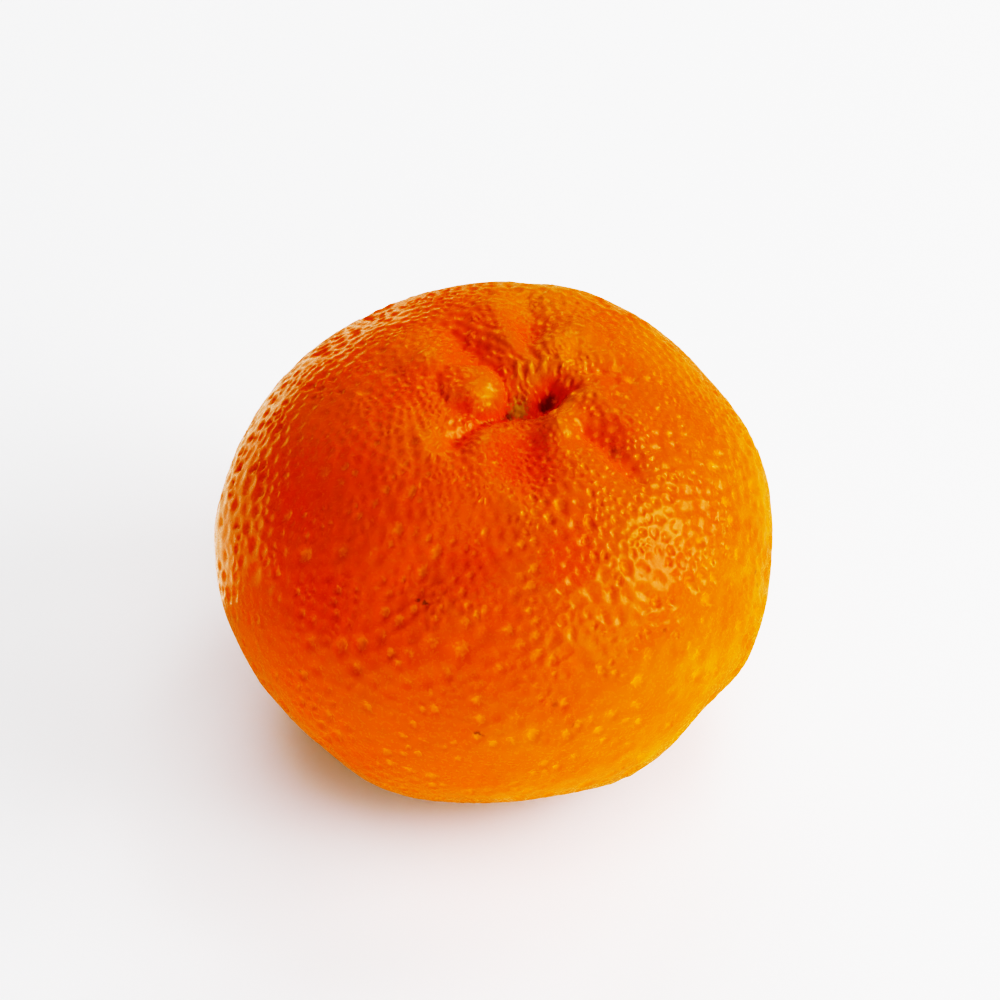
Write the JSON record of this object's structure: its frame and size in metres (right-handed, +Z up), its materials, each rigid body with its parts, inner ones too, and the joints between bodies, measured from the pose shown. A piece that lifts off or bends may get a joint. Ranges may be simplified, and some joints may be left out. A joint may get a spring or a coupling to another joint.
{
  "type": "mandarin",
  "caption": "Ripe whole mandarin with a pitted orange peel, a puckered stem end and a small flat spot that it rests on.",
  "frame": {"origin": "on the resting surface, under the middle of the fruit's outline", "axes": "+Z up, +X to the right and -Y towards the side that the stem end leans to"},
  "size_m": [0.062, 0.0608, 0.049],
  "materials": {
    "peel": "waxy semi-gloss citrus peel, deep red-orange at the left turning to yellow-orange at the right, pitted with oil glands"
  },
  "bodies": {
    "root": {"mandarin": "peel"}
  },
  "joints": []
}
